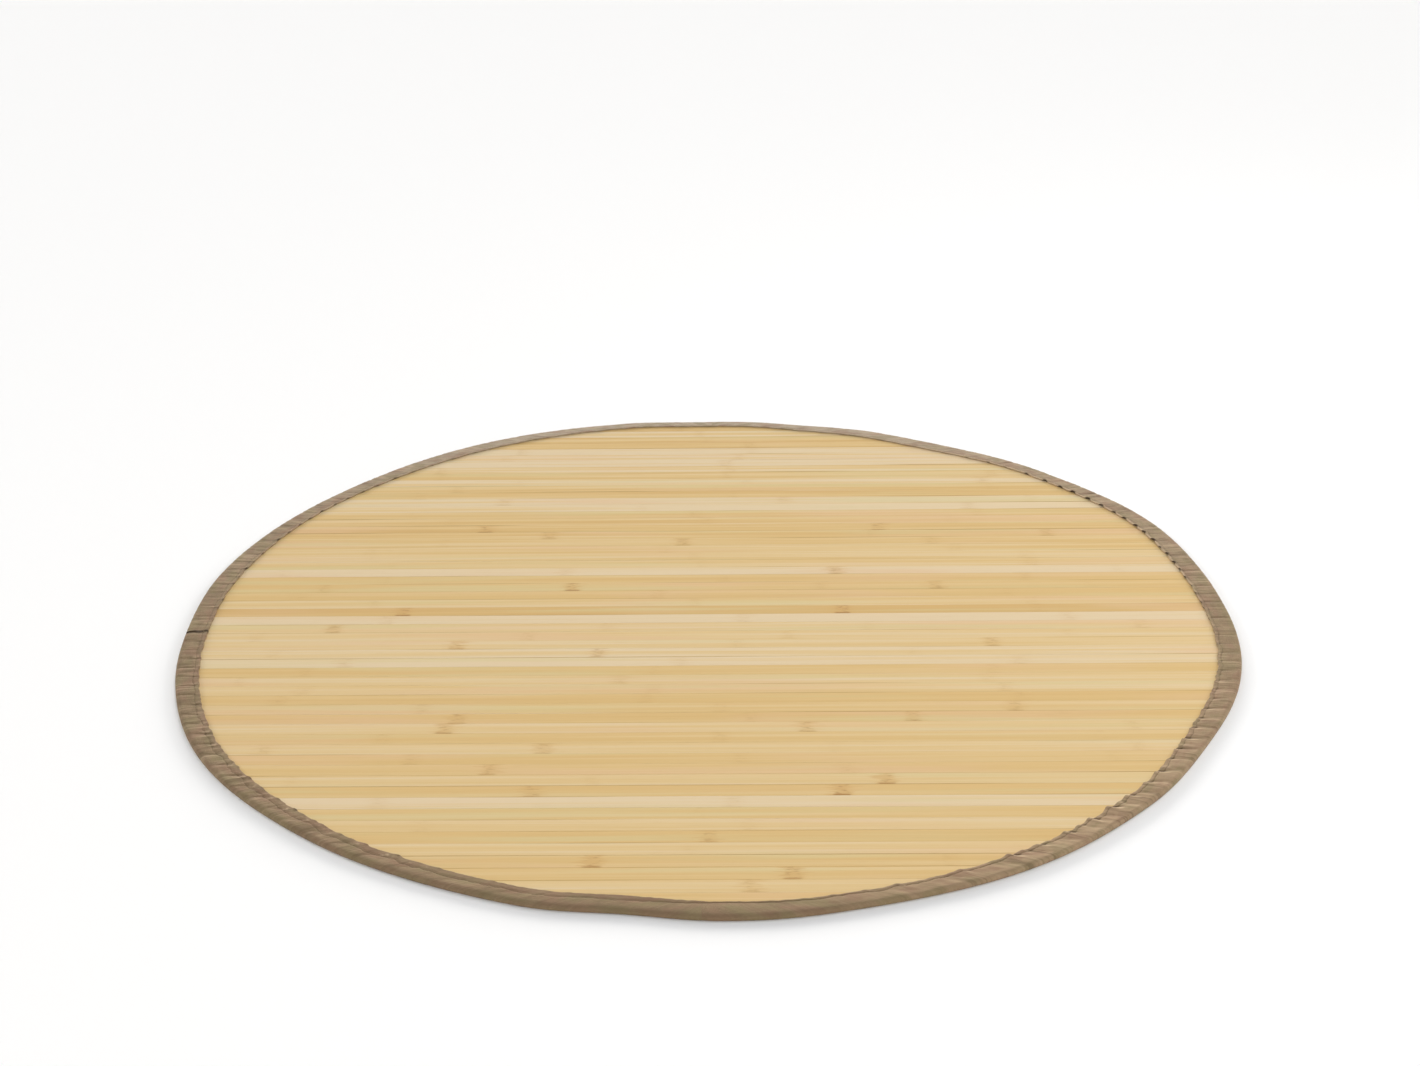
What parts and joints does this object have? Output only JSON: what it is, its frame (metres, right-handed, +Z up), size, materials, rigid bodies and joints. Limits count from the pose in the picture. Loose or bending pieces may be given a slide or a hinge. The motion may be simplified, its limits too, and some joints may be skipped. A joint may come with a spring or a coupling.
{
  "type": "bamboo rug",
  "caption": "Round flat floor rug of narrow bamboo slats laid side by side on a thin backing cloth, with a strip of woven tape folded round the edge.",
  "frame": {"origin": "middle of the rug's underside, on the floor", "axes": "+Z up from the floor, +X along the slats to the right, -Y towards the viewer of the picture"},
  "size_m": [0.9966, 0.995, 0.0064],
  "materials": {
    "bamboo": "lacquered, faint satin sheen",
    "binding": "matt plain weave",
    "backing": "matt cloth"
  },
  "bodies": {
    "root": {"slat_01": "bamboo", "slat_02": "bamboo", "slat_03": "bamboo", "slat_04": "bamboo", "slat_05": "bamboo", "slat_06": "bamboo", "slat_07": "bamboo", "slat_08": "bamboo", "slat_09": "bamboo", "slat_10": "bamboo", "slat_11": "bamboo", "slat_12": "bamboo", "slat_13": "bamboo", "slat_14": "bamboo", "slat_15": "bamboo", "slat_16": "bamboo", "slat_17": "bamboo", "slat_18": "bamboo", "slat_19": "bamboo", "slat_20": "bamboo", "slat_21": "bamboo", "slat_22": "bamboo", "slat_23": "bamboo", "slat_24": "bamboo", "slat_25": "bamboo", "slat_26": "bamboo", "slat_27": "bamboo", "slat_28": "bamboo", "slat_29": "bamboo", "slat_30": "bamboo", "slat_31": "bamboo", "slat_32": "bamboo", "slat_33": "bamboo", "slat_34": "bamboo", "slat_35": "bamboo", "slat_36": "bamboo", "slat_37": "bamboo", "slat_38": "bamboo", "slat_39": "bamboo", "slat_40": "bamboo", "slat_41": "bamboo", "slat_42": "bamboo", "slat_43": "bamboo", "slat_44": "bamboo", "slat_45": "bamboo", "slat_46": "bamboo", "slat_47": "bamboo", "slat_48": "bamboo", "slat_49": "bamboo", "slat_50": "bamboo", "slat_51": "bamboo", "slat_52": "bamboo", "slat_53": "bamboo", "slat_54": "bamboo", "slat_55": "bamboo", "slat_56": "bamboo", "slat_57": "bamboo", "slat_58": "bamboo", "backing": "backing", "binding": "binding"}
  },
  "joints": []
}
